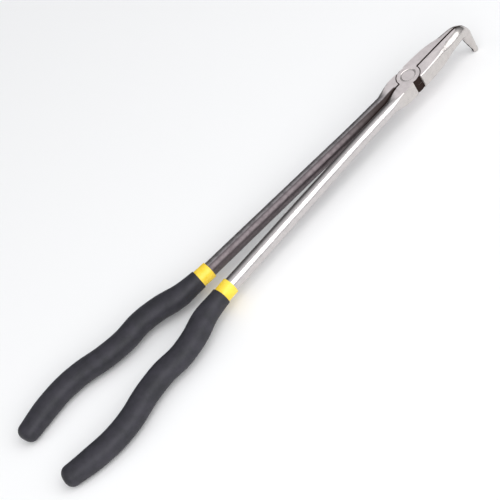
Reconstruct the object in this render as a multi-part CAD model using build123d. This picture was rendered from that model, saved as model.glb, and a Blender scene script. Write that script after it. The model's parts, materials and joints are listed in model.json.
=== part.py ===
from build123d import *
import os
from math import atan2, cos, degrees, radians, sin, tan

# Long-reach bent-nose pliers, jaws closed, in millimetres.
#
# The pliers are drawn in their own plane: the pivot's centre is at 0,0,0, the nose points along +X,
# the pivot axis is Z, and left is +Y. Two forged halves cross at the pivot. The right-handle half
# has its jaw on the left and its lap disc in the upper layer, and the left-handle half is the other
# way round. At the end everything is laid down as it lies on a table, on its beak and its grips.

# Head and pivot
head_thickness = 10.8
disc_radius = 8.6
disc_clearance = 0.2        # between a lap disc's rim and the shoulders round it
lap_clearance = 0.06        # between the two lap discs
opening_angle = 41.0        # from closed until the shoulders meet
stop_clearance = 1.0        # degrees left between the shoulders at the end of that travel
rivet_radius = 4.0
rivet_head_radius = 5.7
rivet_head_depth = 2.2
rivet_sink = 0.15           # how far the rivet's two faces lie below the head's flats
rivet_clearance = 0.03      # running fit in the right-handle half

# Jaws: the nose runs straight, bends down, and ends in a slim beak
jaw_gap = 0.45
nose_straight = 43.7
bend_radius = 8.0
bend_angle = 83.0
beak_length = 16.9
# half width, half height of the whole nose: on the straight run, at shares of nose_straight
nose_straight_sizes = [(0.0, 9.9, 6.5), (0.28, 9.55, 6.5), (0.46, 9.05, 6.3),
                       (0.64, 8.25, 5.9), (0.82, 7.4, 5.45), (1.0, 6.3, 5.25)]
nose_bend_sizes = [(0.5, 4.95, 4.75), (1.0, 3.75, 3.95)]    # at shares of the bend
beak_sizes = [(0.35, 2.95, 3.2), (0.7, 2.35, 2.4), (1.0, 1.8, 1.6)]
# corner radius of a nose section over half of its smaller side, and where it starts and ends to grow
head_roundness = 0.5
nose_roundness = 0.96
rounding_start = 22.0
rounding_end = 37.0
nose_stations = 26
tip_round = 0.7

# Serrations across the inner face of each jaw
serration_pitch = 1.4
serration_depth = 0.3
serration_width = 1.0
serration_start = 16.0      # from the pivot
serration_margin = 2.0      # plain length left at the bend and at the tip

# Handle shanks
handle_gap = 0.8            # between the handles beside the head
shoulder_length = 12.5      # from the pivot to where the flat of the handle shoulder ends
shoulder_width = 8.9
shoulder_taper = 0.3        # how much nearer the centre plane its corner at the notch is
shoulder_corner = 0.8
ramp_length = 13.0          # from the shoulder's end to the round of the shank
ramp_stations = 7
shank_length = 186.0        # from the pivot to the yellow coat
shank_width_at_head = 8.9
shank_width_at_coat = 10.4
shank_spread = 12.25        # from the centre plane to a shank's centre at the yellow coat
# shares of shank_length and of the rise from the head to shank_spread
shank_line = [(0.13, 0.0), (0.30, 0.11), (0.53, 0.40), (0.765, 0.70), (1.0, 1.0)]
shank_roundness = 0.94      # corner radius of a section over half of its smaller side
shank_stations = 7

# Hand grips: the wave of a handle, as steps outwards from where the coats begin
wave = [(14.0, 1.35), (27.0, 3.3), (42.0, 9.2), (57.0, 12.1), (72.0, 11.2),
        (89.0, 13.8), (106.0, 18.9), (123.0, 20.9), (141.0, 19.1), (163.5, 14.3)]
tang_height = 8.8
undercoat_wall = 0.8
band_width = 9.5            # yellow coat left showing
grip_lip = 0.5              # thickness of the dark coat at its mouth
grip_wall_side = 2.6
grip_wall_top = 1.95
grip_swell = 26.0           # length over which the dark coat grows from its lip to its full wall
grip_end = 6.0              # dark and yellow coat beyond the end of the tang
grip_end_round = 5.0
undercoat_end_round = 2.4
tang_end_round = 2.0
wave_stations = 18
cap_steps = 5               # rings on a rounded end
beyond_all = 300.0          # size of a block that reaches past everything


def smooth_step(share):
    """From 0 to 1 with level ends."""
    share = min(max(share, 0.0), 1.0)
    return share * share * (3 - 2 * share)


def blend(start, end, share):
    """The value a share of the way from start to end."""
    return start + (end - start) * share


def section(plane, width, height, roundness, inset=0.0):
    """A rounded rectangle on a plane, its width along the plane's X, drawn in all round by inset."""
    corner = roundness * min(width, height) / 2
    return plane * RectangleRounded(width - 2 * inset, height - 2 * inset, corner - inset)


def block(*align):
    """A block that reaches past everything on the sides that align leaves it."""
    return Box(beyond_all, beyond_all, beyond_all, align=align)


def rounded_cap(section_at, end, radius):
    """The rounded last stretch of a bar up to end. section_at gives a section at a place and an inset."""
    angles = [radians(90 * i / cap_steps) for i in range(cap_steps + 1)]
    return loft([section_at(end - radius * (1 - sin(a)), radius * (1 - cos(a))) for a in angles],
                ruled=True)


# ---------------------------------------------------------------- nose and jaws

def nose_plane(distance):
    """The plane across the nose's centre line at a distance from the pivot: X is +Y of the pliers."""
    bend_length = radians(bend_angle) * bend_radius
    turned = min(max((distance - nose_straight) / bend_radius, 0.0), radians(bend_angle))
    beyond = max(distance - nose_straight - bend_length, 0.0)
    x = min(distance, nose_straight) + bend_radius * sin(turned) + beyond * cos(turned)
    z = -bend_radius * (1 - cos(turned)) - beyond * sin(turned)
    return Plane(origin=(x, 0, z), x_dir=(0, 1, 0), z_dir=(cos(turned), 0, -sin(turned)))


def nose():
    """Both jaws as one tapered, bent bar with flats ground at the head's two faces."""
    bend_length = radians(bend_angle) * bend_radius
    sizes = [(nose_straight * share, w, h) for share, w, h in nose_straight_sizes]
    sizes += [(nose_straight + bend_length * share, w, h) for share, w, h in nose_bend_sizes]
    sizes += [(nose_straight + bend_length + beak_length * share, w, h) for share, w, h in beak_sizes]
    taper = Spline(*sizes)      # distance, half width and half height as one smooth curve
    tip_width, tip_height = 2 * sizes[-1][1], 2 * sizes[-1][2]
    sections = []
    for i in range(nose_stations + 1):
        distance, half_width, half_height = taper @ (i / nose_stations)
        grown = smooth_step((distance - rounding_start) / (rounding_end - rounding_start))
        sections.append(section(nose_plane(distance), 2 * half_width, 2 * half_height,
                                blend(head_roundness, nose_roundness, grown)))
    cap = rounded_cap(lambda distance, inset: section(nose_plane(distance + tip_round), tip_width,
                                                      tip_height, nose_roundness, inset),
                      sizes[-1][0], tip_round)
    above = Pos(0, 0, head_thickness / 2) * block(Align.CENTER, Align.CENTER, Align.MIN)
    below = Pos(nose_straight, 0, -head_thickness / 2) * block(Align.MAX, Align.CENTER, Align.MAX)
    return loft(sections) + cap - above - below


def serrations():
    """V grooves across the face at y = jaw_gap / 2, along the straight run and down the beak."""
    bend_length = radians(bend_angle) * bend_radius
    beak_start = nose_straight + bend_length
    runs = [(serration_start, nose_straight - serration_margin),
            (beak_start + serration_margin, beak_start + beak_length - serration_margin)]
    grooves = []
    for start, end in runs:
        for i in range(int((end - start) / serration_pitch) + 1):
            plane = nose_plane(start + i * serration_pitch)
            across = Plane(origin=plane.origin, x_dir=plane.z_dir, z_dir=plane.y_dir)
            into = 1 if across.y_dir.Y > 0 else -1
            outline = Polyline((-serration_width, 0), (serration_width, 0),
                               (0, into * (jaw_gap / 2 + serration_depth)), close=True)
            grooves.append(extrude(across * make_face(outline), head_thickness, both=True))
    return grooves


def beyond_shoulder(angle):
    """Everything on the notch's side of the radial plane at an angle from +X, in the +Y half."""
    return Rot(0, 0, angle) * block(Align.CENTER, Align.MIN, Align.CENTER)


def jaw():
    """The jaw on the +Y side, from its shoulder at the notch to the tip."""
    blank = nose() & Pos(0, jaw_gap / 2, 0) * block(Align.CENTER, Align.MIN, Align.CENTER)
    return blank - beyond_shoulder(90 - notch_angle / 2) - serrations()


# ---------------------------------------------------------------- handles

def handle_curves():
    """The centre line of the handle on the -Y side: the shank's curve and the wave under the coats."""
    head_y = (handle_gap + shank_width_at_head) / 2
    rise = shank_spread - head_y
    shank_points = [(0, -head_y)] + [(-shank_length * a, -head_y - rise * b) for a, b in shank_line]
    last_run = Vector(*shank_points[-1]) - Vector(*shank_points[-2])
    shank = Spline(*shank_points, tangents=[(-1, 0), last_run])
    wave_points = [shank_points[-1]] + [(-shank_length - a, -shank_spread - b) for a, b in wave]
    end_run = Vector(*wave_points[-1]) - Vector(*wave_points[-2])
    return shank, Spline(*wave_points, tangents=[last_run, end_run])


def plane_on(curve, distance):
    """The plane across a handle's centre line at a length along it: X lies in the pliers' plane."""
    share = distance / curve.length
    along = curve % share
    return Plane(origin=curve @ share, x_dir=(-along.Y, along.X, 0), z_dir=along)


def tang_sizes(distance):
    """Width and height of the steel at a length along the wave."""
    share = smooth_step(distance / grip_swell)
    return shank_width_at_coat, blend(shank_width_at_coat, tang_height, share)


def steel_handle(shank, steel_tang):
    """The shoulder, the shank and the tang on the -Y side, as one solid."""
    inner, outer = handle_gap / 2, handle_gap / 2 + shoulder_width
    corner = outer - shoulder_taper
    lean = tan(radians(notch_angle / 2))
    outline = Polyline((-inner * lean, -inner), (-corner * lean, -corner), (-shoulder_length, -outer),
                       (-shoulder_length, -inner), close=True)
    shoulder = extrude(make_face(outline), head_thickness / 2, both=True)
    ramp_end = shoulder_length + ramp_length
    ramp, bars = [], []
    for i in range(ramp_stations + 1):
        distance = shoulder_length + ramp_length * i / ramp_stations
        grown = smooth_step(i / ramp_stations)
        centre = plane_on(shank, distance)
        outward = Vector(0, (shoulder_width - shank_width_at_head) / 2 * (1 - grown), 0)
        width = blend(shoulder_width, shank_width_at_head, grown)
        height = blend(head_thickness, shank_width_at_head, grown)
        roundness = blend(2 * shoulder_corner / min(shoulder_width, head_thickness), shank_roundness, grown)
        plane = Plane(origin=centre.origin - outward, x_dir=centre.x_dir, z_dir=centre.z_dir)
        ramp.append(section(plane, width, height, roundness))
    for i in range(shank_stations + 1):
        size = blend(shank_width_at_head, shank_width_at_coat, i / shank_stations)
        distance = blend(ramp_end, shank.length, i / shank_stations)
        bars.append(section(plane_on(shank, distance), size, size, shank_roundness))
    return shoulder + loft(ramp) + loft(bars) + steel_tang


def tang(waved):
    """The steel under the coats."""
    return coat_blank(waved, 0, waved.length - grip_end, tang_end_round, 0, 0)


def coat_blank(waved, start, end, end_round, side, top, lip=None):
    """A solid round the tang from start to end of the wave, with a rounded hand end.

    Its walls are side and top, and grow to that from lip where it has one.
    """
    def section_at(distance, inset=0.0):
        grown = 1.0 if lip is None else smooth_step((distance - start) / grip_swell)
        wall_side, wall_top = (blend(side if lip is None else lip, wall, grown) for wall in (side, top))
        width, height = tang_sizes(distance)
        return section(plane_on(waved, distance), width + 2 * wall_side, height + 2 * wall_top,
                       shank_roundness, inset)

    body_end = end - end_round
    body = [section_at(blend(start, body_end, i / wave_stations)) for i in range(wave_stations + 1)]
    return loft(body) + rounded_cap(section_at, end, end_round)


# ---------------------------------------------------------------- whole pieces

def rivet_shape(grow, face_sink):
    """The rivet turned about Z, grown all round by grow, its faces sunk below the head's flats."""
    top = head_thickness / 2 - face_sink
    slope = (rivet_head_radius - rivet_radius) / rivet_head_depth
    face_radius = rivet_head_radius - slope * face_sink + grow
    neck = head_thickness / 2 - rivet_head_depth
    profile = Polyline((0, -top), (face_radius, -top), (rivet_radius + grow, -neck),
                       (rivet_radius + grow, neck), (face_radius, top), (0, top), close=True)
    return revolve(Plane.XZ * make_face(profile), Axis.Z)


def half(blank, handle_right):
    """One forged half cut from a blank with its handle on -Y. The left-handle half is turned over."""
    if not handle_right:
        blank = mirror(blank, Plane.XZ)
    side = 1 if handle_right else -1
    near, far = (Align.MIN, Align.MAX) if handle_right else (Align.MAX, Align.MIN)
    lap = Pos(0, 0, side * lap_clearance / 2)
    other_lug = lap * Cylinder(disc_radius + disc_clearance, head_thickness,
                               align=(Align.CENTER, Align.CENTER, far))
    own_lug = lap * Cylinder(disc_radius, (head_thickness - lap_clearance) / 2,
                             align=(Align.CENTER, Align.CENTER, near))
    return blank - other_lug + own_lug - rivet_shape(rivet_clearance if handle_right else 0, 0)


def lying_down(beak_tip, hand_end, pieces):
    """The placement that stands the beak's tip and both grips on z = 0, centred on the origin."""
    reach = beak_tip.X - hand_end.X
    lean = atan2(-beak_tip.Z - grip_height / 2, reach)
    halves_low, grips_low = (
        min((Rot(0, -degrees(lean), 0) * piece).bounding_box().min.Z
            for name, piece in pieces.items() if name.endswith(ending))
        for ending in ("_half", "_grip"))
    turned = Rot(0, -degrees(lean + (grips_low - halves_low) / reach), 0)
    boxes = [(turned * piece).bounding_box() for piece in pieces.values()]
    middle = (min(b.min.X for b in boxes) + max(b.max.X for b in boxes)) / 2
    return Pos(-middle, 0, -min(b.min.Z for b in boxes)) * turned


def build():
    """Every piece by name, as it lies at rest, and the placement from the pliers' plane to there."""
    shank, waved = handle_curves()
    steel_tang = tang(waved)
    blank = jaw() + steel_handle(shank, steel_tang)
    undercoat_end = waved.length - grip_end / 2
    under = coat_blank(waved, 0, undercoat_end, undercoat_end_round, undercoat_wall, undercoat_wall)
    over = coat_blank(waved, band_width, waved.length, grip_end_round, undercoat_wall + grip_wall_side,
                      undercoat_wall + grip_wall_top, undercoat_wall + grip_lip)
    undercoat, grip = under - steel_tang, over - under
    pieces = {
        "right_handle_half": half(blank, True),
        "left_handle_half": half(blank, False),
        "pivot_rivet": rivet_shape(0, rivet_sink),
        "right_undercoat": undercoat,
        "left_undercoat": mirror(undercoat, Plane.XZ),
        "right_grip": grip,
        "left_grip": mirror(grip, Plane.XZ),
    }
    tip = nose_plane(nose_length + tip_round).origin
    hand_end = waved @ (1 - grip_end_round / waved.length)
    place = lying_down(tip, hand_end, pieces)
    return {name: place * piece for name, piece in pieces.items()}, place


notch_angle = opening_angle + stop_clearance
nose_length = nose_straight + radians(bend_angle) * bend_radius + beak_length
grip_height = tang_height + 2 * (undercoat_wall + grip_wall_top)

if __name__ == "__main__":
    placed, at_rest = build()
    os.makedirs("parts", exist_ok=True)
    for name, piece in placed.items():
        print(name, [round(body.volume, 1) for body in piece.solids()], piece.bounding_box())
        export_step(piece, f"parts/{name}.step")
    print("pivot", at_rest.position, "axis", Plane(at_rest).z_dir)
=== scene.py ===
"""Long-reach bent-nose pliers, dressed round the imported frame.

The halves keep their frame solids and get plated steel. The rivet, the yellow undercoats and the
charcoal grips are made here, and stand for their plain solids.
"""

import json
import logging
import math
from dataclasses import dataclass
from enum import Enum

import bmesh
import bpy
from mathutils import Matrix, Vector, noise


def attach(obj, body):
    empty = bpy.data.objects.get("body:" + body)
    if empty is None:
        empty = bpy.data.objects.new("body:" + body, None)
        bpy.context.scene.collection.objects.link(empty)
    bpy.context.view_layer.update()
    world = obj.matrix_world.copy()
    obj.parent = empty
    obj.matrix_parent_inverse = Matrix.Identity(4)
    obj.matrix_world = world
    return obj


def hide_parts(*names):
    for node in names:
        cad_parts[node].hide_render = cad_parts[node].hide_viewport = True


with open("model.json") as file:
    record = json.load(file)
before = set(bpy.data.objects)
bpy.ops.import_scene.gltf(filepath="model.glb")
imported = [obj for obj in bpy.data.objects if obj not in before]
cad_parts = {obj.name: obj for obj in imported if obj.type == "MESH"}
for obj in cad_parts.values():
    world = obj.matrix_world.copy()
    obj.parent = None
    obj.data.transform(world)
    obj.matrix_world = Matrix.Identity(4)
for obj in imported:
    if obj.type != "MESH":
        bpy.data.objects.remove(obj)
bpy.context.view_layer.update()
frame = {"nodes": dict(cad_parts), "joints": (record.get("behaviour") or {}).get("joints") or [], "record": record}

MM = 0.001
WELD_M = 2e-6
SLIVER_M = 1e-7
NODE_SPACING = 180.0
LOG = logging.getLogger("pliers")

Socket = bpy.types.NodeSocket
Number = float | Socket
Colour = tuple[float, float, float]


class Side(Enum):
    """A handle of the pliers, by the user's hand, and the sign of its Y in the pliers' plane."""

    LEFT = 1
    RIGHT = -1

    @property
    def word(self) -> str:
        """The side's name as the nodes and pieces spell it."""
        return self.name.lower()

    @property
    def body(self) -> str:
        """The frame body that the handle belongs to."""
        return f"{self.word}_arm"


@dataclass(frozen=True)
class PliersPlane:
    """The plane that the pliers are drawn in: origin at the pivot, X to the nose, Z the pivot axis.

    Lengths in this plane are millimetres. The frame leans a little, because the beak holds the
    head off the table.
    """

    origin: Vector
    axis: Vector

    @classmethod
    def from_joint(cls, name: str) -> "PliersPlane":
        """The plane across a hinge of the frame."""
        joint = next(j for j in frame["joints"] if j["name"] == name)
        return cls(Vector(joint["pos_m"]), Vector(joint["axis"]).normalized())

    @property
    def turn(self) -> Matrix:
        """The rotation from the plane's directions to the row frame's."""
        across = Vector((0, 1, 0))
        along = across.cross(self.axis).normalized()
        return Matrix((along, across, self.axis)).transposed()

    def place(self, x: float, y: float, z: float = 0.0) -> Vector:
        """A point of the plane, in metres in the row frame."""
        return self.origin + self.turn @ (Vector((x, y, z)) * MM)

    def head_half_mm(self) -> float:
        """Half the head's thickness in millimetres, from the mounts on its two flats."""
        heights = [(Vector(mount["pos_m"]) - self.origin).dot(self.axis)
                   for mount in frame["record"]["mounts"] if mount["kind"] == "flat_face"]
        return (max(heights) - min(heights)) / 2 / MM


# ------------------------------------------------------------------ node helpers


class Tree:
    """A thin wrapper that adds nodes to a tree, links them and lays them out in a row."""

    def __init__(self, tree: bpy.types.NodeTree) -> None:
        """Takes the shader or geometry node tree to build in."""
        self.tree = tree
        self.count = 0

    def add(self, kind: str, inputs: dict | None = None, **settings: object) -> bpy.types.Node:
        """Adds a node.

        Args:
            kind: the node's type name.
            inputs: socket name or number to a value, or to an output socket to link from.
            settings: attributes to set on the node.

        Returns:
            The new node.
        """
        node = self.tree.nodes.new(kind)
        node.location = (self.count * NODE_SPACING, 0.0)
        self.count += 1
        for name, value in settings.items():
            setattr(node, name, value)
        for key, value in (inputs or {}).items():
            if isinstance(value, Socket):
                self.link(value, node.inputs[key])
            else:
                node.inputs[key].default_value = value
        return node

    def link(self, source: Socket, target: Socket) -> None:
        """Links an output to an input."""
        self.tree.links.new(source, target)

    def math(self, operation: str, *values: Number) -> Socket:
        """The result of a Math node, such as ADD or POWER, on numbers or sockets."""
        return self.add("ShaderNodeMath", dict(enumerate(values)), operation=operation).outputs[0]

    def vector(self, operation: str, *values: Socket | tuple, output: str = "Vector") -> Socket:
        """The result of a Vector Math node: its Vector, or its Value for a length or a dot product."""
        return self.add("ShaderNodeVectorMath", dict(enumerate(values)),
                        operation=operation).outputs[output]

    def scaled(self, vector: Socket, factor: Number) -> Socket:
        """A vector times a number."""
        return self.add("ShaderNodeVectorMath", {0: vector, "Scale": factor},
                        operation="SCALE").outputs["Vector"]

    def split(self, vector: Socket) -> bpy.types.NodeOutputs:
        """A vector's three coordinates, as sockets."""
        return self.add("ShaderNodeSeparateXYZ", {0: vector}).outputs

    def smooth(self, value: Socket, low: float, high: float, out_low: float = 0.0,
               out_high: float = 1.0) -> Socket:
        """Maps a value smoothly, from low and high to out_low and out_high."""
        ends = {0: value, 1: low, 2: high, 3: out_low, 4: out_high}
        return self.add("ShaderNodeMapRange", ends, interpolation_type="SMOOTHSTEP").outputs[0]

    def mix(self, factor: Socket, first: Socket | tuple, second: Socket | tuple) -> Socket:
        """Mixes two colours, where the factor is the second colour's share."""
        node = self.add("ShaderNodeMix", {0: factor, 6: first, 7: second}, data_type="RGBA")
        return node.outputs[2]

    def between(self, share: Socket, first: Number, second: Number) -> Socket:
        """Mixes two numbers, of which the second has the share."""
        return self.math("MULTIPLY_ADD", self.math("SUBTRACT", second, first), share, first)

    def noise(self, place: Socket, scale: float, detail: float, roughness: float = 0.5) -> Socket:
        """A noise of so many waves per metre, with finer layers as its detail and roughness say."""
        return self.add("ShaderNodeTexNoise", {"Vector": place, "Scale": scale, "Detail": detail,
                                               "Roughness": roughness}).outputs[0]

    def varied(self, noise_value: Socket, middle: float, spread: float) -> Socket:
        """A number that wanders with a noise, over a spread about its middle."""
        return self.math("MULTIPLY_ADD", noise_value, spread, middle - spread / 2)


def rgba(colour: Colour, shade: float = 1.0) -> tuple[float, float, float, float]:
    """A colour with full opacity, darkened by a factor."""
    return (*(channel * shade for channel in colour), 1.0)


def new_material(name: str) -> tuple[bpy.types.Material, Tree, bpy.types.Node]:
    """An empty node material with a Principled shader.

    Args:
        name: the material's name.

    Returns:
        The material, its tree and the shader node.
    """
    material = bpy.data.materials.new(name)
    material.use_nodes = True
    shader = material.node_tree.nodes["Principled BSDF"]
    return material, Tree(material.node_tree), shader


# ------------------------------------------------------------------ finishes


@dataclass(frozen=True)
class SteelGround:
    """What the steel's colour, gloss and relief all read: the place, two noises and four masks."""

    place: Socket
    blotch: Socket
    fine: Socket
    on_head: Socket
    on_flat: Socket
    # inner is a mask of painted shade, and the last one is a mask of painted shade and oil in the joint.
    inner: Socket
    sooty: Socket


@dataclass(frozen=True)
class PlatedSteel:
    """Forged steel under thin plating: satin and speckled on the head, smoother along the shank.

    Painted shade, with some oil, darkens the faces that look into the joint: the notch walls, the lap
    discs' rims, the seam between the jaws and the crotch between the shanks, and painted shade darkens
    the side of a shank that faces the other handle. A grain is a noise's waves per metre, its layers
    and their roughness, and a range is where a noise's effect begins and is full.
    """

    name: str
    plane: PliersPlane
    handle: Side
    head: Colour = (0.80, 0.735, 0.735)
    head_side: Colour = (0.64, 0.605, 0.585)
    shank_light: Colour = (0.63, 0.595, 0.59)
    shank_dark: Colour = (0.50, 0.47, 0.47)
    # the colour of the painted shade on the side of the shank that faces the other handle
    inner: Colour = (0.62, 0.60, 0.60)
    # painted shade and oil in the joint, as a near-black colour
    soot: Colour = (0.030, 0.020, 0.018)
    inner_share: float = 0.0
    mottle: float = 0.35
    cloud_share: float = 0.20
    cloud_shade: float = 0.6
    speck_share: float = 0.22
    speck_shade: float = 0.5

    head_metal: float = 0.45
    head_roughness: float = 0.44
    side_roughness: float = 0.24
    shank_roughness: float = 0.17
    soot_roughness: float = 0.6
    inner_roughness: float = 0.4
    head_spread: float = 0.2
    shank_spread: float = 0.5

    blotch_grain: tuple[float, float, float] = (330.0, 6.0, 0.62)
    fine_grain: tuple[float, float, float] = (2100.0, 3.0, 0.6)
    grind_waves: tuple[float, float, float] = (70.0, 2400.0, 2400.0)
    pit_scale: float = 1500.0
    pit_range: tuple[float, float] = (0.26, 0.10)
    pitted_range: tuple[float, float] = (0.49, 0.58)
    stain_range: tuple[float, float] = (0.42, 0.64)
    cloud_range: tuple[float, float] = (0.40, 0.66)
    speck_range: tuple[float, float] = (0.55, 0.72)
    head_waves: float = 0.3
    grain_depth: float = 0.05
    pit_depth: float = 0.15
    relief_mm: float = 0.12
    relief_strength: float = 0.6

    flat_rise: tuple[float, float] = (0.955, 0.99)
    head_start_mm: float = -20.0
    head_blend_mm: float = 4.0
    # Where shade and oil are painted in the joint: the pivot's walls, the lap discs' rims, the jaw seam with its
    # grooves, and the crotch between the shanks.
    joint_radius_mm: float = 9.05
    joint_blend_mm: float = 0.5
    wall_rise: float = 0.5
    rim_radius_mm: float = 8.70
    rim_half_mm: float = 0.32
    rim_blend_mm: float = 0.12
    seam_half_mm: float = 0.66
    seam_blend_mm: float = 0.1
    groove_half_mm: float = 0.80
    groove_sideways: float = 0.25
    crotch_mm: tuple[float, float] = (-85.0, -22.0)

    # Where shade is painted along the side of the shank that faces the other handle.
    shank_slope: float = 0.0495
    shank_offset_mm: float = 3.0
    inner_lean: float = 0.35
    inner_blend_mm: float = 0.6
    inner_start_mm: tuple[float, float] = (-11.5, -13.5)

    def material(self) -> bpy.types.Material:
        """Builds the material.

        Returns:
            A steel material that reads object coordinates.
        """
        material, tree, shader = new_material(self.name)
        ground = self.ground(tree)
        # Metal and gloss fade out where shade and oil are painted.
        bright = tree.math("SUBTRACT", 1.0, ground.sooty)
        metal = tree.math("MULTIPLY_ADD", ground.on_flat, self.head_metal - 1.0, 1.0)
        plain_specular = shader.inputs["Specular IOR Level"].default_value
        for name, value in (("Base Color", self.colour(tree, ground)),
                            ("Metallic", tree.math("MULTIPLY", metal, bright)),
                            ("Specular IOR Level", tree.math("MULTIPLY", bright, plain_specular)),
                            ("Roughness", self.roughness(tree, ground)),
                            ("Normal", self.relief(tree, ground))):
            tree.link(value, shader.inputs[name])
        return material

    def ground(self, tree: Tree) -> SteelGround:
        """Lays the nodes that the rest of the material reads.

        Args:
            tree: the material's tree.

        Returns:
            The place, the noises and the masks.
        """
        place = self.local(tree, tree.add("ShaderNodeTexCoord").outputs["Object"])
        split = tree.split(place)
        on_head = tree.smooth(split[0], (self.head_start_mm - self.head_blend_mm) * MM,
                              (self.head_start_mm + self.head_blend_mm) * MM)
        surface = tree.add("ShaderNodeNewGeometry").outputs
        rise, soft_rise = (
            tree.math("ABSOLUTE", tree.vector("DOT_PRODUCT", surface[way], tuple(self.plane.axis),
                                              output="Value"))
            for way in ("True Normal", "Normal"))
        # Painted shade along the shank's side that faces the other handle.
        inner = self.inner_mask(tree, split)
        # Painted shade: in the crotch near the pivot the inner side takes the joint's near-black colour.
        crotch = tree.math("MULTIPLY", inner, tree.smooth(split[0], *(x * MM for x in self.crotch_mm)))
        # Painted shade and oil in the joint.
        soot = self.soot_mask(tree, split, surface["True Normal"], rise)
        return SteelGround(
            place=place,
            blotch=tree.noise(place, *self.blotch_grain),
            fine=tree.noise(place, *self.fine_grain),
            on_head=on_head,
            on_flat=tree.math("MULTIPLY", on_head, tree.smooth(soft_rise, *self.flat_rise)),
            inner=inner,
            sooty=tree.math("MAXIMUM", soot, crotch))

    def colour(self, tree: Tree, ground: SteelGround) -> Socket:
        """Mixes the head's, the flanks' and the shank's colours, then paints shade on the shank's inner
        side, and shade with oil in the joint.

        Args:
            tree: the material's tree.
            ground: the nodes that the material reads.

        Returns:
            The colour.
        """
        stain = tree.math("MULTIPLY", tree.smooth(ground.blotch, *self.stain_range), self.mottle)
        shank = tree.mix(stain, rgba(self.shank_light), rgba(self.shank_dark))
        cloud = tree.math("MULTIPLY", tree.smooth(ground.blotch, *self.cloud_range), self.cloud_share)
        side = tree.mix(cloud, rgba(self.head_side), rgba(self.head_side, self.cloud_shade))
        speck = tree.math("MULTIPLY", tree.smooth(ground.fine, *self.speck_range), self.speck_share)
        head = tree.mix(tree.math("ADD", cloud, speck), rgba(self.head),
                        rgba(self.head, self.speck_shade))
        clean = tree.mix(ground.on_flat, tree.mix(ground.on_head, shank, side), head)
        # Painted shade on the side of the shank that faces the other handle.
        clean = tree.mix(ground.inner, clean, rgba(self.inner))
        # Painted shade and oil in the joint.
        return tree.mix(ground.sooty, clean, rgba(self.soot))

    def roughness(self, tree: Tree, ground: SteelGround) -> Socket:
        """Mixes the finishes' roughness, dull where shade and oil are painted in the joint and on the shank's
        shaded inner side.

        Args:
            tree: the material's tree.
            ground: the nodes that the material reads.

        Returns:
            The roughness.
        """
        flat = tree.varied(ground.fine, self.head_roughness, self.head_spread)
        side = tree.varied(ground.blotch, self.side_roughness, self.head_spread)
        shank = tree.varied(ground.blotch, self.shank_roughness, self.shank_spread * self.mottle)
        rough = tree.between(ground.on_flat, tree.between(ground.on_head, shank, side), flat)
        dull = tree.math("MAXIMUM", tree.math("MULTIPLY", ground.sooty, self.soot_roughness),
                         tree.math("MULTIPLY", ground.inner, self.inner_roughness))
        return tree.math("MAXIMUM", rough, dull)

    def relief(self, tree: Tree, ground: SteelGround) -> Socket:
        """Raises the forging's waves and the grinding marks, and sinks the pits.

        Args:
            tree: the material's tree.
            ground: the nodes that the material reads.

        Returns:
            The bumped normal.
        """
        grind = tree.noise(tree.vector("MULTIPLY", ground.place, self.grind_waves), 1.0, 2.0)
        pits = tree.add("ShaderNodeTexVoronoi", {"Vector": ground.place, "Scale": self.pit_scale})
        pitted = tree.math("MULTIPLY", tree.smooth(pits.outputs["Distance"], *self.pit_range),
                           tree.smooth(ground.blotch, *self.pitted_range))
        waves = tree.math("MULTIPLY", ground.blotch,
                          tree.between(ground.on_head, self.mottle, self.head_waves))
        grain = tree.math("MULTIPLY", tree.math("ADD", ground.fine, grind), self.grain_depth)
        height = tree.math("SUBTRACT", tree.math("ADD", waves, grain),
                           tree.math("MULTIPLY", pitted, self.pit_depth))
        return tree.add("ShaderNodeBump", {"Height": height, "Distance": self.relief_mm * MM,
                                           "Strength": self.relief_strength}).outputs[0]

    def local(self, tree: Tree, place: Socket) -> Socket:
        """Turns object coordinates into metres in the pliers' plane.

        Args:
            tree: the material's tree.
            place: object coordinates.

        Returns:
            The place, from the pivot.
        """
        shifted = tree.vector("SUBTRACT", place, tuple(self.plane.origin))
        parts = [tree.vector("DOT_PRODUCT", shifted, tuple(column), output="Value")
                 for column in self.plane.turn.transposed()]
        return tree.add("ShaderNodeCombineXYZ", dict(enumerate(parts))).outputs[0]

    def inner_mask(self, tree: Tree, split: bpy.types.NodeOutputs) -> Socket:
        """The share of painted shade, along the side of the shank that faces the other handle.

        Args:
            tree: the material's tree.
            split: the place's coordinates.

        Returns:
            A share from 0 to inner_share.
        """
        run = tree.math("MULTIPLY_ADD", split[0], -self.shank_slope, self.shank_offset_mm * MM)
        outward = tree.math("MULTIPLY", split[1], float(self.handle.value))
        inwards = tree.math("SUBTRACT", run, outward)
        lean = tree.math("SUBTRACT", inwards, tree.math("MULTIPLY", split[2], self.inner_lean))
        blend = self.inner_blend_mm * MM
        side = tree.smooth(lean, -blend, blend, 0.0, self.inner_share)
        return tree.math("MULTIPLY", side, tree.smooth(split[0], *(x * MM for x in self.inner_start_mm)))

    def soot_mask(self, tree: Tree, split: bpy.types.NodeOutputs, normal: Socket,
                  rise: Socket) -> Socket:
        """Where shade and oil are painted dark in the joint: walls near the pivot, the jaw seam and the lap discs'
        rims.

        Args:
            tree: the material's tree.
            split: the place's coordinates.
            normal: the surface's direction.
            rise: how far the surface faces along the pivot axis, without its sign.

        Returns:
            A share from 0 to 1.
        """
        flat = tree.add("ShaderNodeCombineXYZ", {0: split[0], 1: split[1]}).outputs[0]
        radius = tree.vector("LENGTH", flat, output="Value")
        # Painted shade with oil on the walls that look into the joint near the pivot.
        near = tree.smooth(radius, (self.joint_radius_mm + self.joint_blend_mm) * MM,
                           self.joint_radius_mm * MM)
        walls = tree.math("MULTIPLY", near, tree.math("LESS_THAN", rise, self.wall_rise))

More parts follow.
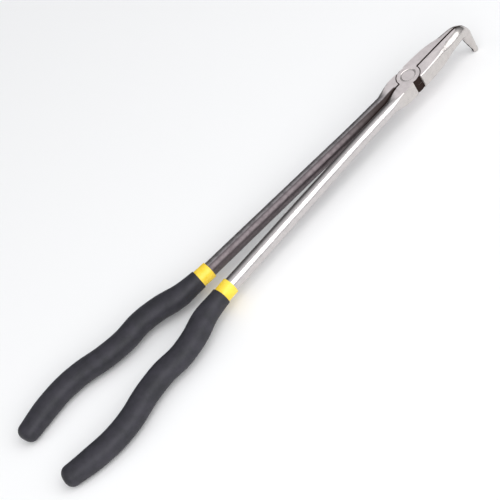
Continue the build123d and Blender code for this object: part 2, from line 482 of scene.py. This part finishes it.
        # Painted shade on the jaw seam's sideways faces, and a painted dark line along the seam on the flats.
        across = tree.math("ABSOLUTE", split[1])
        sideways = tree.math("ABSOLUTE", tree.split(normal)[1])
        faces = tree.math("MULTIPLY", tree.math("LESS_THAN", across, self.groove_half_mm * MM),
                          tree.math("GREATER_THAN", sideways, self.groove_sideways))
        beyond = tree.math("GREATER_THAN", radius, self.rim_radius_mm * MM)
        seam = tree.smooth(across, (self.seam_half_mm + self.seam_blend_mm) * MM,
                           self.seam_half_mm * MM)
        line = tree.math("MULTIPLY", beyond, seam)

        # A painted dark line, the gap's shadow, along the lap discs' rims on two opposite quarters of each face.
        off_rim = tree.math("ABSOLUTE", tree.math("SUBTRACT", radius, self.rim_radius_mm * MM))
        octant = tree.math("MULTIPLY", tree.math("MULTIPLY", split[0], split[1]), split[2])
        ring = tree.smooth(off_rim, (self.rim_half_mm + self.rim_blend_mm) * MM, self.rim_half_mm * MM)
        rim = tree.math("MULTIPLY", tree.math("LESS_THAN", octant, 0.0), ring)
        return tree.math("MAXIMUM", tree.math("MAXIMUM", walls, faces), tree.math("MAXIMUM", line, rim))


@dataclass(frozen=True)
class DippedVinyl:
    """Soft vinyl left by a dip: even colour, a fine skin and faint long runs."""

    name: str
    colour: Colour
    shade: Colour
    roughness: float
    roughness_spread: float = 0.16
    sheen: float = 0.35
    cloud_grain: tuple[float, float, float] = (110.0, 5.0, 0.6)
    cloud_range: tuple[float, float] = (0.3, 0.7)
    cloud_weight: float = 2.0
    skin_scale: float = 1100.0
    skin_grain: tuple[float, float] = (4.0, 0.55)
    skin_depth_mm: float = 0.09
    relief_strength: float = 0.7

    def material(self) -> bpy.types.Material:
        """Builds the material.

        Returns:
            A vinyl material that reads object coordinates.
        """
        material, tree, shader = new_material(self.name)
        place = tree.add("ShaderNodeTexCoord").outputs["Object"]
        cloud = tree.noise(place, *self.cloud_grain)
        skin = tree.noise(place, self.skin_scale, *self.skin_grain)
        colour = tree.mix(tree.smooth(cloud, *self.cloud_range), rgba(self.colour), rgba(self.shade))
        tree.link(colour, shader.inputs["Base Color"])
        tree.link(tree.varied(skin, self.roughness, self.roughness_spread), shader.inputs["Roughness"])
        shader.inputs["Specular IOR Level"].default_value = self.sheen
        height = tree.math("MULTIPLY_ADD", cloud, self.cloud_weight, skin)
        bump = tree.add("ShaderNodeBump", {"Height": height, "Distance": self.skin_depth_mm * MM,
                                           "Strength": self.relief_strength})
        tree.link(bump.outputs[0], shader.inputs["Normal"])
        return material


# ------------------------------------------------------------------ the steel halves and the rivet


@dataclass
class SteelHalf:
    """One forged half: the frame's solid with its sharp edges broken, dressed in plated steel."""

    handle: Side
    finish: PlatedSteel
    weld_m: float = 1e-6
    flat_degrees: float = 0.3
    edge_mm: float = 0.16
    edge_segments: int = 2
    edge_degrees: float = 32.0
    sharp_degrees: float = 18.0

    def build(self) -> bpy.types.Object:
        """Makes the half's piece, and puts it in place of the plain solid.

        Returns:
            The finished piece.
        """
        node = f"{self.handle.word}_handle_half"
        mesh = frame["nodes"][node].data.copy()
        mesh.name = f"{self.handle.word}_steel"
        self.clean(mesh)
        mesh.materials.clear()
        mesh.materials.append(self.finish.material())
        piece = bpy.data.objects.new(f"{self.handle.word}_steel_half", mesh)
        bpy.context.scene.collection.objects.link(piece)
        self.break_edges(piece)
        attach(piece, self.handle.body)
        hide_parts(node)
        return piece

    def clean(self, mesh: bpy.types.Mesh) -> None:
        """Merges the triangles' corners and dissolves the lines across flat faces.

        Args:
            mesh: a copy of the solid's mesh.
        """
        work = bmesh.new()
        work.from_mesh(mesh)
        bmesh.ops.remove_doubles(work, verts=work.verts, dist=self.weld_m)
        bmesh.ops.dissolve_limit(work, angle_limit=math.radians(self.flat_degrees),
                                 verts=work.verts, edges=work.edges, delimit=set())
        work.to_mesh(mesh)
        work.free()

    def break_edges(self, piece: bpy.types.Object) -> None:
        """Rounds the sharp edges a little and smooths the curved faces.

        Args:
            piece: the half's object.
        """
        bevel = piece.modifiers.new("broken_edges", "BEVEL")
        bevel.width = self.edge_mm * MM
        bevel.segments = self.edge_segments
        bevel.limit_method = "ANGLE"
        bevel.angle_limit = math.radians(self.edge_degrees)
        bevel.use_clamp_overlap = True
        mesh = evaluated_mesh(piece)
        piece.modifiers.remove(bevel)
        piece.data = mesh
        mesh.shade_smooth()
        mesh.set_sharp_from_angle(angle=math.radians(self.sharp_degrees))


@dataclass
class PeenedRivet:
    """The pivot rivet: two countersunk heads, each with a turned ring and a lightly peened face.

    Sizes are millimetres from the pivot axis and from the head's middle plane.
    """

    plane: PliersPlane
    finish: PlatedSteel
    face: float
    face_radius: float = 5.53
    shaft_radius: float = 4.0
    neck: float = 3.15
    ring_radius: float = 4.95
    ring_depth: float = 0.16
    ring_width: float = 0.14
    edge_round: float = 0.22
    edge_drop: float = 2.0
    dent: float = 0.05
    dents_per_mm: float = 0.8
    dent_layer: float = 4.0
    dent_margin: float = 0.3
    margin_share: float = 0.25
    around: int = 96
    rings: int = 26
    sharp_degrees: float = 40.0

    def height(self, radius: float, angle: float) -> float:
        """How high the peened face lies.

        Args:
            radius: millimetres from the axis.
            angle: the direction, in radians.

        Returns:
            Millimetres from the head's middle plane.
        """
        groove = math.exp(-((radius - self.ring_radius) / self.ring_width) ** 2) * self.ring_depth
        edge = max(radius - (self.face_radius - self.edge_round), 0.0) ** 2 * self.edge_drop
        place = Vector((radius * math.cos(angle), radius * math.sin(angle), self.dent_layer))
        peened = 1.0 if radius < self.ring_radius - self.dent_margin else self.margin_share
        return self.face - groove - edge - abs(noise.noise(place * self.dents_per_mm)) * self.dent * peened

    def build(self) -> bpy.types.Object:
        """Makes the rivet's mesh, and puts it in place of the plain solid.

        Returns:
            The finished piece.
        """
        work = bmesh.new()
        self.bridge(work, *(self.end(work, sign) for sign in (1, -1)))
        mesh = bpy.data.meshes.new("rivet")
        work.to_mesh(mesh)
        work.free()
        face_outwards(mesh)
        mesh.shade_smooth()
        mesh.set_sharp_from_angle(angle=math.radians(self.sharp_degrees))
        mesh.materials.append(self.finish.material())
        piece = bpy.data.objects.new("peened_rivet", mesh)
        bpy.context.scene.collection.objects.link(piece)
        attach(piece, Side.LEFT.body)
        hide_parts("pivot_rivet")
        return piece

    def end(self, work: bmesh.types.BMesh, sign: int) -> list[bmesh.types.BMVert]:
        """Adds one head: its face, and the cone down to the shaft.

        Args:
            work: the mesh being made.
            sign: 1 for the upper head and -1 for the lower one.

        Returns:
            The ring of corners where the head meets the shaft.
        """
        steps = [self.face_radius * step / self.rings for step in range(self.rings, 0, -1)]
        faces = [self.ring(work, radius, sign) for radius in steps]
        neck = [work.verts.new(self.plane.place(self.shaft_radius * math.cos(a),
                                                self.shaft_radius * math.sin(a), sign * self.neck))
                for a in self.angles()]
        pole = work.verts.new(self.plane.place(0, 0, sign * self.height(0.0, 0.0)))
        for outer, inner in zip(faces, faces[1:]):
            self.bridge(work, outer, inner)
        for k, vertex in enumerate(faces[-1]):
            work.faces.new((vertex, faces[-1][(k + 1) % self.around], pole))
        self.bridge(work, neck, faces[0])
        return neck

    def angles(self) -> list[float]:
        """The directions of a ring's corners, in radians."""
        return [2 * math.pi * k / self.around for k in range(self.around)]

    def ring(self, work: bmesh.types.BMesh, radius: float, sign: int) -> list[bmesh.types.BMVert]:
        """Adds a ring of corners on the upper face, where the sign is 1, or on the lower one."""
        return [work.verts.new(self.plane.place(radius * math.cos(a), radius * math.sin(a),
                                                sign * self.height(radius, a + sign)))
                for a in self.angles()]

    def bridge(self, work: bmesh.types.BMesh, one: list[bmesh.types.BMVert],
               other: list[bmesh.types.BMVert]) -> None:
        """Joins two rings with faces.

        Args:
            work: the mesh being made.
            one: a ring.
            other: the next ring.
        """
        for k in range(self.around):
            n = (k + 1) % self.around
            work.faces.new((one[k], one[n], other[n], other[k]))


def evaluated_mesh(source: bpy.types.Object) -> bpy.types.Mesh:
    """A new mesh of an object as its modifiers leave it.

    Args:
        source: the object.

    Returns:
        The mesh.
    """
    bpy.context.view_layer.update()
    graph = bpy.context.evaluated_depsgraph_get()
    return bpy.data.meshes.new_from_object(source.evaluated_get(graph))


def face_outwards(mesh: bpy.types.Mesh) -> None:
    """Merges doubles, drops faces with no area and turns a closed mesh's faces outwards.

    Args:
        mesh: the mesh to mend.
    """
    work = bmesh.new()
    work.from_mesh(mesh)
    bmesh.ops.remove_doubles(work, verts=work.verts, dist=WELD_M)
    bmesh.ops.dissolve_degenerate(work, edges=work.edges, dist=SLIVER_M)
    bmesh.ops.recalc_face_normals(work, faces=work.faces)
    if work.calc_volume(signed=True) < 0:
        bmesh.ops.reverse_faces(work, faces=work.faces)
    work.to_mesh(mesh)
    work.free()


# ------------------------------------------------------------------ the dipped coats


@dataclass(frozen=True)
class HandleRun:
    """The centre line of a handle under its coats, in millimetres in the pliers' plane."""

    plane: PliersPlane
    handle: Side
    start_x: float = -186.0
    start_y: float = 12.25
    wave: tuple[tuple[float, float], ...] = (
        (14.0, 1.35), (27.0, 3.3), (42.0, 9.2), (57.0, 12.1), (72.0, 11.2),
        (89.0, 13.8), (106.0, 18.9), (123.0, 20.9), (141.0, 19.1), (163.5, 14.3))
    shank_slope: float = 0.0500
    resolution: int = 24

    def points(self) -> list[Vector]:
        """The run's points in metres in the row frame, from where the coats begin to the hand end."""
        steps = ((0.0, 0.0),) + self.wave
        side = self.handle.value
        return [self.plane.place(self.start_x - a, side * (self.start_y + b)) for a, b in steps]

    def curve(self, name: str) -> bpy.types.Object:
        """The run as a Bezier curve through its points.

        Each knot's direction is that of the chord past it, and its handles are a third of the way
        to its neighbours.

        Args:
            name: the curve object's name.

        Returns:
            A curve object in the scene.
        """
        points = self.points()
        data = bpy.data.curves.new(name, "CURVE")
        data.dimensions = "3D"
        data.resolution_u = self.resolution
        spline = data.splines.new("BEZIER")
        spline.bezier_points.add(len(points) - 1)
        first = self.plane.turn @ Vector((-1, self.handle.value * self.shank_slope, 0)).normalized()
        for i, point in enumerate(points):
            before, after = points[max(i - 1, 0)], points[min(i + 1, len(points) - 1)]
            along = first if i == 0 else (after - before).normalized()
            knot = spline.bezier_points[i]
            knot.co = point
            knot.handle_left = point - along * (point - before).length / 3
            knot.handle_right = point + along * (after - point).length / 3
        found = bpy.data.objects.new(name, data)
        bpy.context.scene.collection.objects.link(found)
        return found

    def length_mm(self) -> float:
        """Measures the run.

        Returns:
            Its length in millimetres.
        """
        probe = self.curve("probe")
        length = probe.data.splines[0].calc_length() / MM
        bpy.data.objects.remove(probe)
        return length


@dataclass(frozen=True)
class CoatProfile:
    """How a coat's half width and half height go along a handle.

    The profile goes up the inside, round the mouth and back over the outside to the rounded hand
    end. Its sizes are millimetres, along the run and across it.
    """

    start: float
    end: float
    inside: tuple[float, float]
    outside: tuple[float, float]
    mouth: tuple[float, float]
    end_round: float
    end_taper: float = 0.0
    swell: float = 26.0
    taper_length: float = 26.0
    lip_round: float = 0.35
    end_wall: float = 0.6
    dimple_depth: float = 0.5
    dimple_edge: tuple[float, float] = (0.35, 0.55)
    body_steps: int = 60
    lip_steps: int = 4
    end_steps: int = 8

    @staticmethod
    def ease(share: float) -> float:
        """From 0 to 1 with level ends."""
        share = min(max(share, 0.0), 1.0)
        return share * share * (3 - 2 * share)

    def over(self, distance: float) -> tuple[float, float]:
        """Half width and half height of the outside at a distance.

        Args:
            distance: millimetres along the run.

        Returns:
            The two half sizes in millimetres.
        """
        share = self.ease((distance - self.start) / self.swell)
        slim = self.end_taper * self.ease((distance - self.end + self.taper_length) / self.taper_length)
        wide, high = (a + (b - a) * share for a, b in zip(self.mouth, self.outside))
        return wide - slim, high - slim

    def stations(self) -> list[Vector]:
        """Points of the profile, from pole to pole: distance, half width and half height."""
        return self.inner_stations() + self.lip_stations() + self.outer_stations() + self.end_stations()

    def inner_stations(self) -> list[Vector]:
        """Goes up the inside, from its pole at the hand end to the mouth.

        Returns:
            The inside's points.
        """
        hand = self.end - self.end_round - self.end_wall
        run = [Vector((hand + (self.start - hand) * step / self.body_steps, *self.inside))
               for step in range(self.body_steps + 1)]
        return [Vector((hand, 0.0, 0.0))] + run

    def lip_stations(self) -> list[Vector]:
        """Goes round the mouth's rounded lip.

        Returns:
            The lip's points.
        """
        found = []
        wide, high = self.mouth
        for step in range(self.lip_steps + 1):
            angle = math.radians(90 * step / self.lip_steps)
            drop = self.lip_round * (1 - math.sin(angle))
            distance = self.start + self.lip_round * (1 - math.cos(angle))
            found.append(Vector((distance, wide - drop, high - drop)))
        return found

    def outer_stations(self) -> list[Vector]:
        """Goes from the lip to where the hand end starts to round.

        Returns:
            The outside's points.
        """
        first = self.start + self.lip_round
        body = self.end - self.end_round
        distances = [first + (body - first) * step / self.body_steps
                     for step in range(1, self.body_steps + 1)]
        return [Vector((distance, *self.over(distance))) for distance in distances]

    def end_stations(self) -> list[Vector]:
        """Goes round the hand end and in to the shallow dimple at its pole.

        Returns:
            The hand end's points.
        """
        found = []
        body = self.end - self.end_round
        wide, high = self.over(body)
        for step in range(1, self.end_steps + 1):
            angle = math.radians(90 * step / self.end_steps)
            inset = self.end_round * (1 - math.cos(angle))
            distance = body + self.end_round * math.sin(angle)
            found.append(Vector((distance, wide - inset, high - inset)))
        rim = found[-1]
        depth, share = self.dimple_edge
        found.append(Vector((self.end - depth, rim.y * share, rim.z * share)))
        found.append(Vector((self.end - self.dimple_depth, 0.0, 0.0)))
        return found

    def curve(self, name: str) -> bpy.types.Object:
        """The profile as a poly curve in metres.

        Args:
            name: the curve object's name.

        Returns:
            A curve object in the scene.
        """
        stations = self.stations()
        data = bpy.data.curves.new(name, "CURVE")
        data.dimensions = "3D"
        spline = data.splines.new("POLY")
        spline.points.add(len(stations) - 1)
        for point, station in zip(spline.points, stations):
            point.co = (*(station * MM), 1.0)
        found = bpy.data.objects.new(name, data)
        bpy.context.scene.collection.objects.link(found)
        return found


class CoatTree:
    """A node tree that wraps a skin round a run: rounded sections, sized by a profile.

    Inputs: Geometry (the run), Profile, Stations, Around, Up (the pivot axis), Squareness,
    Unevenness, Wave Scale, Seed and Finish.
    """

    def __init__(self) -> None:
        """Builds the tree."""
        self.group = bpy.data.node_groups.new("coat_round_run", "GeometryNodeTree")
        self.sockets: dict[str, str] = {}
        self.add_socket("Geometry", "Geometry")
        self.group.interface.new_socket("Geometry", in_out="OUTPUT", socket_type="NodeSocketGeometry")
        for name, kind in (("Profile", "Object"), ("Stations", "Int"), ("Around", "Int"),
                           ("Up", "Vector"), ("Squareness", "Float"), ("Unevenness", "Float"),
                           ("Wave Scale", "Float"), ("Seed", "Float"), ("Finish", "Material")):
            self.add_socket(name, kind)
        self.build()

    def add_socket(self, name: str, kind: str) -> None:
        """Adds a named input of a type such as Float, and keeps its identifier."""
        socket = self.group.interface.new_socket(name, in_out="INPUT", socket_type=f"NodeSocket{kind}")
        self.sockets[name] = socket.identifier

    def build(self) -> None:
        """Lays the nodes: a grid whose one way is round the section and whose other is along it."""
        tree = Tree(self.group)
        given = tree.add("NodeGroupInput").outputs
        grid = tree.add("GeometryNodeMeshGrid", {"Size X": 1.0, "Size Y": 1.0,
                                                 "Vertices X": given["Around"],
                                                 "Vertices Y": given["Stations"]})
        place = tree.split(tree.add("GeometryNodeInputPosition").outputs[0])
        turn = tree.math("MULTIPLY", place[0], 2 * math.pi)
        size = tree.split(self.station(tree, given, place[1]))
        run = tree.add("GeometryNodeSampleCurve", {"Curves": given["Geometry"], "Length": size[0]},
                       mode="LENGTH", use_all_curves=True).outputs
        across = tree.vector("NORMALIZE", tree.vector("CROSS_PRODUCT", given["Up"], run["Tangent"]))
        width = self.rounded(tree, given, turn, "COSINE", size[1])
        height = self.rounded(tree, given, turn, "SINE", size[2])
        offset = tree.vector("ADD", tree.scaled(across, width), tree.scaled(given["Up"], height))
        on_run = tree.vector("ADD", run["Position"], offset)
        push = tree.scaled(tree.vector("NORMALIZE", offset), self.push(tree, given, on_run, size[1]))
        moved = tree.add("GeometryNodeSetPosition", {"Geometry": grid.outputs["Mesh"],
                                                     "Position": tree.vector("ADD", on_run, push)})
        welded = tree.add("GeometryNodeMergeByDistance", {"Geometry": moved.outputs[0],
                                                          "Distance": WELD_M})
        whole = tree.add("GeometryNodeRealizeInstances", {0: welded.outputs[0]})
        dressed = tree.add("GeometryNodeSetMaterial", {"Geometry": whole.outputs[0],
                                                       "Material": given["Finish"]})
        tree.add("NodeGroupOutput", {0: dressed.outputs[0]})

    @staticmethod
    def station(tree: Tree, given: bpy.types.NodeOutputs, along: Socket) -> Socket:
        """Reads the profile's point for a row of the grid.

        Args:
            tree: the tree to build in.
            given: the tree's inputs.
            along: the row's place on the grid, from -0.5 to 0.5.

        Returns:
            The distance along the run, the half width and the half height, as a vector.
        """
        last = tree.math("SUBTRACT", given["Stations"], 1.0)
        index = tree.math("ROUND", tree.math("MULTIPLY", tree.math("ADD", along, 0.5), last))
        profile = tree.add("GeometryNodeObjectInfo", {"Object": given["Profile"]}).outputs["Geometry"]
        value = tree.add("GeometryNodeInputPosition").outputs[0]
        return tree.add("GeometryNodeSampleIndex", {"Geometry": profile, "Index": index, "Value": value},
                        data_type="FLOAT_VECTOR", domain="POINT").outputs[0]

    @staticmethod
    def push(tree: Tree, given: bpy.types.NodeOutputs, place: Socket, half: Socket) -> Socket:
        """How far the dip's unevenness moves a point outwards, which is nothing at a pole.

        Args:
            tree: the tree to build in.
            given: the tree's inputs.
            place: the point.
            half: half the section's width there.

        Returns:
            The distance in metres.
        """
        swell = tree.add("ShaderNodeTexNoise", {"Vector": place, "W": given["Seed"],
                                                "Scale": given["Wave Scale"], "Detail": 2.0},
                         noise_dimensions="4D").outputs[0]
        push = tree.math("MULTIPLY", tree.math("SUBTRACT", swell, 0.5), given["Unevenness"])
        return tree.math("MULTIPLY", push, tree.math("GREATER_THAN", half, SLIVER_M))

    @staticmethod
    def rounded(tree: Tree, given: bpy.types.NodeOutputs, turn: Socket, wave: str,
                half: Socket) -> Socket:
        """One coordinate of a section between an ellipse and a rectangle.

        Args:
            tree: the tree to build in.
            given: the tree's inputs.
            turn: the angle round the section.
            wave: COSINE for the width, SINE for the height.
            half: half the section's size that way.

        Returns:
            The coordinate, with its sign.
        """
        swing = tree.math(wave, turn)
        power = tree.math("DIVIDE", 2.0, given["Squareness"])
        eased = tree.math("POWER", tree.math("ABSOLUTE", swing), power)
        return tree.math("MULTIPLY", tree.math("MULTIPLY", eased, tree.math("SIGN", swing)), half)


@dataclass
class Coat:
    """One dip coat on a handle, wrapped round its run by the coat tree."""

    name: str
    node: str
    slot: str
    run: HandleRun
    profile: CoatProfile
    finish: bpy.types.Material
    unevenness_mm: float
    seed: float
    around: int = 64
    squareness: float = 2.35
    wave_scale: float = 55.0

    def build(self, tree: CoatTree) -> bpy.types.Object:
        """Makes the coat's mesh, and puts it in place of the plain solid.

        Args:
            tree: the coat tree.

        Returns:
            The finished piece.
        """
        path = self.run.curve(f"{self.name}_run")
        profile = self.profile.curve(f"{self.name}_profile")
        modifier = path.modifiers.new("coat", "NODES")
        modifier.node_group = tree.group
        values = {"Profile": profile, "Stations": len(self.profile.stations()),
                  "Around": self.around + 1, "Up": tuple(self.run.plane.axis),
                  "Squareness": self.squareness, "Unevenness": self.unevenness_mm * MM,
                  "Wave Scale": self.wave_scale, "Seed": self.seed, "Finish": self.finish}
        for name, value in values.items():
            modifier[tree.sockets[name]] = value
        mesh = evaluated_mesh(path)
        path.modifiers.remove(modifier)
        for helper in (path, profile):
            bpy.data.objects.remove(helper)
        return self.finish_piece(mesh)

    def finish_piece(self, mesh: bpy.types.Mesh) -> bpy.types.Object:
        """Turns the faces outwards, smooths them and hangs the piece on its body.

        Args:
            mesh: the wrapped skin.

        Returns:
            The piece.
        """
        face_outwards(mesh)
        mesh.shade_smooth()
        piece = bpy.data.objects.new(self.name, mesh)
        bpy.context.scene.collection.objects.link(piece)
        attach(piece, self.run.handle.body)
        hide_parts(self.node)
        return piece


@dataclass(frozen=True)
class DippedHandle:
    """Both coats of a handle: a thin bright one on the tang, and a thick dark one over it."""

    run: HandleRun
    under_finish: bpy.types.Material
    over_finish: bpy.types.Material
    seed: float
    under_short: float = 3.0
    band: float = 9.5
    over_short: float = 0.4

    def coats(self) -> tuple[Coat, Coat]:
        """The undercoat and the grip, ready to build.

        Returns:
            The two coats, in the order of dipping.
        """
        word = self.run.handle.word
        length = self.run.length_mm()
        under = CoatProfile(0.0, length - self.under_short, inside=(5.1, 4.3), outside=(5.95, 5.1),
                            mouth=(5.95, 5.9), end_round=2.4)
        over = CoatProfile(self.band, length - self.over_short, inside=(6.0, 5.2),
                           outside=(8.5, 7.05), mouth=(6.45, 6.4), end_round=5.6, end_taper=0.9)
        return (Coat(f"{word}_yellow_coat", f"{word}_undercoat", "band_vinyl", self.run, under,
                     self.under_finish, unevenness_mm=0.10, seed=self.seed),
                Coat(f"{word}_charcoal_grip", f"{word}_grip", "grip_vinyl", self.run, over,
                     self.over_finish, unevenness_mm=0.22, seed=self.seed + 1))


# ------------------------------------------------------------------ studio


@dataclass(frozen=True)
class Softbox:
    """A rectangular studio light that shines at the pliers: metres and watts."""

    name: str
    place: tuple[float, float, float]
    size: tuple[float, float]
    power: float

    def hang(self, target: Vector) -> None:
        """Adds the light, turned to a target.

        Args:
            target: the point it shines at.
        """
        data = bpy.data.lights.new(self.name, "AREA")
        data.shape = "RECTANGLE"
        data.size, data.size_y = self.size
        data.energy = self.power
        lamp = bpy.data.objects.new(self.name, data)
        lamp.location = self.place
        lamp.rotation_euler = (target - Vector(self.place)).to_track_quat("-Z", "Y").to_euler()
        bpy.context.scene.collection.objects.link(lamp)


@dataclass(frozen=True)
class Studio:
    """A pale floor, soft light and the camera, whose place and directions are in the pliers' plane."""

    plane: PliersPlane
    camera_mm: tuple[float, float, float] = (-321.97, -712.56, 685.27)
    look: tuple[float, float, float] = (0.16221, 0.71013, -0.68513)
    right: tuple[float, float, float] = (0.68631, -0.58006, -0.43875)
    lens: float = 109.94
    view_reach: float = 50.0
    floor_reach: float = 6.0
    floor_colour: Colour = (0.93, 0.93, 0.93)
    floor_roughness: float = 0.9
    room_colour: Colour = (0.97, 0.98, 1.0)
    room_dim: float = 0.10
    room_bright: float = 0.85
    room_lean: float = 0.6
    room_rise: tuple[float, float] = (-0.1, 1.05)
    target_mm: float = -120.0
    boxes: tuple[Softbox, ...] = (Softbox("overhead", (0.1, -1.15, 1.25), (3.0, 1.9), 29.0),
                                  Softbox("left_hand", (-1.4, 0.6, 0.9), (0.8, 0.6), 2.0))

    def set_floor(self) -> None:
        """Lays a plain pale floor under the pliers."""
        data = bpy.data.meshes.new("floor")
        reach = self.floor_reach
        corners = [(-reach, -reach, 0), (reach, -reach, 0), (reach, reach, 0), (-reach, reach, 0)]
        data.from_pydata(corners, [], [range(len(corners))])
        material, _, shader = new_material("pale_floor")
        shader.inputs["Base Color"].default_value = rgba(self.floor_colour)
        shader.inputs["Roughness"].default_value = self.floor_roughness
        data.materials.append(material)
        floor = bpy.data.objects.new("floor", data)
        bpy.context.scene.collection.objects.link(floor)

    def set_light(self) -> None:
        """Hangs the softboxes and lights the room: dim behind the pliers, brighter overhead."""
        world = bpy.data.worlds.new("room")
        world.use_nodes = True
        tree = Tree(world.node_tree)
        background = world.node_tree.nodes["Background"]
        way = tree.split(tree.add("ShaderNodeTexCoord").outputs["Generated"])
        rise = tree.math("MULTIPLY_ADD", way[1], -self.room_lean, way[2])
        glow = tree.smooth(rise, *self.room_rise, self.room_dim, self.room_bright)
        seen = tree.add("ShaderNodeLightPath").outputs["Is Camera Ray"]
        strength = tree.add("ShaderNodeMix", {0: seen, 2: glow, 3: 1.0}, data_type="FLOAT")
        tree.link(strength.outputs[0], background.inputs["Strength"])
        background.inputs["Color"].default_value = rgba(self.room_colour)
        bpy.context.scene.world = world
        for box in self.boxes:
            box.hang(self.plane.place(self.target_mm, 0.0))

    def set_camera(self) -> None:
        """Sets the camera, from its place and directions in the pliers' plane."""
        look = self.plane.turn @ Vector(self.look)
        right = self.plane.turn @ Vector(self.right)
        data = bpy.data.cameras.new("camera")
        data.lens = self.lens
        data.clip_end = self.view_reach
        camera = bpy.data.objects.new("camera", data)
        turn = Matrix((right, right.cross(look), -look)).transposed().to_4x4()
        camera.matrix_world = Matrix.Translation(self.plane.place(*self.camera_mm)) @ turn
        bpy.context.scene.collection.objects.link(camera)
        bpy.context.scene.camera = camera
        bpy.context.scene.view_settings.view_transform = "Standard"


# ------------------------------------------------------------------ the whole


def report(piece: bpy.types.Object) -> None:
    """Logs a finished piece and its number of faces."""
    LOG.info("built %s with %d faces", piece.name, len(piece.data.polygons))


def main() -> None:
    """Builds and dresses every piece in order."""
    logging.basicConfig(level=logging.INFO, format="%(message)s")
    plane = PliersPlane.from_joint("jaw_pivot")
    steels = {
        Side.RIGHT: PlatedSteel("right_steel", plane, Side.RIGHT),
        # The left shank is duller and darker, and its inner side is painted in near-black shade.
        Side.LEFT: PlatedSteel("left_steel", plane, Side.LEFT, shank_light=(0.46, 0.43, 0.44),
                               shank_dark=(0.27, 0.25, 0.26), inner=(0.10, 0.08, 0.085),
                               inner_share=0.85, shank_roughness=0.36, mottle=1.0),
    }
    # The rivet gets none of the joint's painted shade and oil.
    no_oil_and_shade = {"joint_radius_mm": 1.0, "rim_radius_mm": 20.0, "seam_half_mm": -1.0,
               "groove_half_mm": -1.0}
    rivet_steel = PlatedSteel("rivet_steel", plane, Side.LEFT, **no_oil_and_shade)
    yellow = DippedVinyl("yellow_vinyl", (0.93, 0.63, 0.04), (1.0, 0.74, 0.08), 0.26,
                         sheen=0.5, skin_scale=500.0, skin_depth_mm=0.03).material()
    charcoal = DippedVinyl("charcoal_vinyl", (0.022, 0.022, 0.027), (0.036, 0.034, 0.044),
                           0.55).material()
    rivet_sink = 0.16
    seeds = {Side.LEFT: 3.0, Side.RIGHT: 8.0}

    report(PeenedRivet(plane, rivet_steel, plane.head_half_mm() - rivet_sink).build())
    coat_tree = CoatTree()
    for side in Side:
        report(SteelHalf(side, steels[side]).build())
        for coat in DippedHandle(HandleRun(plane, side), yellow, charcoal, seeds[side]).coats():
            report(coat.build(coat_tree))

    studio = Studio(plane)
    studio.set_floor()
    studio.set_light()
    studio.set_camera()


if __name__ == "__main__":
    main()
